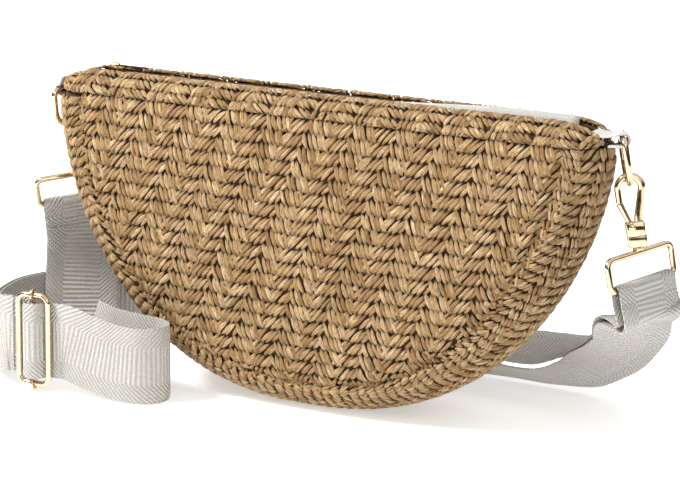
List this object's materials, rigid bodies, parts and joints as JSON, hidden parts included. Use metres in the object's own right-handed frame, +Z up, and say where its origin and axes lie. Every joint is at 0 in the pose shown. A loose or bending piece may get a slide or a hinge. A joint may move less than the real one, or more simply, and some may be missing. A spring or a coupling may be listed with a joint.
{
  "type": "crossbody purse",
  "caption": "Half-moon woven straw crossbody purse with a zip along its straight top, D-rings, swivel snap hooks and an adjustable webbing strap.",
  "frame": {"origin": "middle of the flat patch the bag stands on, on the floor", "axes": "+X along the zip from its closed end, +Y to the back of the bag, +Z up"},
  "size_m": [0.3607, 0.152, 0.1558],
  "materials": {
    "woven_straw": "natural paper straw, twisted and woven",
    "cotton_lining": "plain cotton",
    "grey_canvas": "matt woven tape",
    "zip_plastic": "satin",
    "strap_webbing": "herringbone cotton webbing",
    "gold_metal": "polished pale gold plating"
  },
  "bodies": {
    "bag": {"front_panel": "woven_straw", "back_panel": "woven_straw", "gusset": "woven_straw", "top_band_front": "woven_straw", "top_band_rear": "woven_straw", "lining": "cotton_lining", "zip_tape_front": "grey_canvas", "zip_tape_rear": "grey_canvas", "zip_teeth_front": "zip_plastic", "zip_teeth_rear": "zip_plastic", "zip_top_stop_front": "gold_metal", "zip_top_stop_rear": "gold_metal", "zip_bottom_stop": "gold_metal", "tab_left": "grey_canvas", "tab_right": "grey_canvas", "strap_riser_left": "strap_webbing", "strap_front_loop": "strap_webbing", "strap_slack": "strap_webbing", "strap_turn_sewn": "strap_webbing", "strap_turn_threaded": "strap_webbing", "strap_run_sewn": "strap_webbing", "strap_run_threaded": "strap_webbing", "strap_riser_right_sewn": "strap_webbing", "strap_riser_right_threaded": "strap_webbing"},
    "zip_slider_body": {"zip_slider": "gold_metal"},
    "zip_pull_body": {"zip_pull": "gold_metal"},
    "strap_slider_body": {"slider_frame": "gold_metal", "slider_bar": "gold_metal", "strap_thread": "strap_webbing", "strap_bar_fold": "strap_webbing"},
    "ring_left": {"d_ring_left": "gold_metal"},
    "hook_left": {"hook_body_left": "gold_metal", "hook_pin_left": "gold_metal"},
    "gate_left": {"hook_gate_left": "gold_metal"},
    "swivel_left": {"strap_loop_left": "gold_metal", "strap_fold_left": "strap_webbing"},
    "ring_right": {"d_ring_right": "gold_metal"},
    "hook_right": {"hook_body_right": "gold_metal", "hook_pin_right": "gold_metal"},
    "gate_right": {"hook_gate_right": "gold_metal"},
    "swivel_right": {"strap_loop_right": "gold_metal", "strap_fold_right": "strap_webbing"}
  },
  "joints": [
    {"name": "zip_slide", "type": "slide", "parent": "bag", "child": "zip_slider_body", "axis": [1, 0, 0], "range_m": [0, 0.237], "deforming": ["zip_teeth_front", "zip_teeth_rear"]},
    {"name": "zip_pull_hinge", "type": "hinge", "parent": "zip_slider_body", "child": "zip_pull_body", "pos_m": [-0.121, 0, 0.15385], "axis": [0, -1, 0], "range_deg": [0, 170]},
    {"name": "strap_slider_slide", "type": "slide", "parent": "bag", "child": "strap_slider_body", "axis": [1, 0, 0], "range_m": [0, 0.023], "deforming": ["strap_slack"]},
    {"name": "ring_left_swing", "type": "hinge", "parent": "bag", "child": "ring_left", "pos_m": [-0.15, 0.002, 0.141], "axis": [0.2058, 0.9414, 0.2673], "range_deg": [-3, 40], "deforming": ["strap_riser_left"]},
    {"name": "hook_left_swing", "type": "hinge", "parent": "ring_left", "child": "hook_left", "pos_m": [-0.15191, 0.0081, 0.121], "axis": [-0.6654, -0.7294, -0.1589], "range_deg": [-20, 20], "deforming": ["strap_riser_left"]},
    {"name": "gate_left_open", "type": "hinge", "parent": "hook_left", "child": "gate_left", "pos_m": [-0.1524, 0.01248, 0.10296], "axis": [-0.6654, -0.7294, -0.1589], "range_deg": [0, 25], "stiffness_Nm_per_rad": 0.02},
    {"name": "swivel_left_turn", "type": "hinge", "parent": "hook_left", "child": "swivel_left", "pos_m": [-0.15468, 0.01698, 0.09184], "axis": [0.0907, -0.2903, 0.9526], "range_deg": [-45, 45], "deforming": ["strap_riser_left"]},
    {"name": "ring_right_swing", "type": "hinge", "parent": "bag", "child": "ring_right", "pos_m": [0.1535, 0, 0.146], "axis": [0.4545, -0.8864, 0.0874], "range_deg": [-8, 40], "deforming": ["strap_riser_right_sewn", "strap_riser_right_threaded"]},
    {"name": "hook_right_swing", "type": "hinge", "parent": "ring_right", "child": "hook_right", "pos_m": [0.15747, 0, 0.12538], "axis": [-0.4545, 0.8864, -0.0874], "range_deg": [-20, 20], "deforming": ["strap_riser_right_sewn", "strap_riser_right_threaded"]},
    {"name": "gate_right_open", "type": "hinge", "parent": "hook_right", "child": "gate_right", "pos_m": [0.15983, -0.00074, 0.10557], "axis": [-0.4545, 0.8864, -0.0874], "range_deg": [0, 25], "stiffness_Nm_per_rad": 0.02},
    {"name": "swivel_right_turn", "type": "hinge", "parent": "hook_right", "child": "swivel_right", "pos_m": [0.16351, 0, 0.09395], "axis": [-0.1888, 0, 0.982], "range_deg": [-45, 45], "deforming": ["strap_riser_right_sewn", "strap_riser_right_threaded"]}
  ]
}
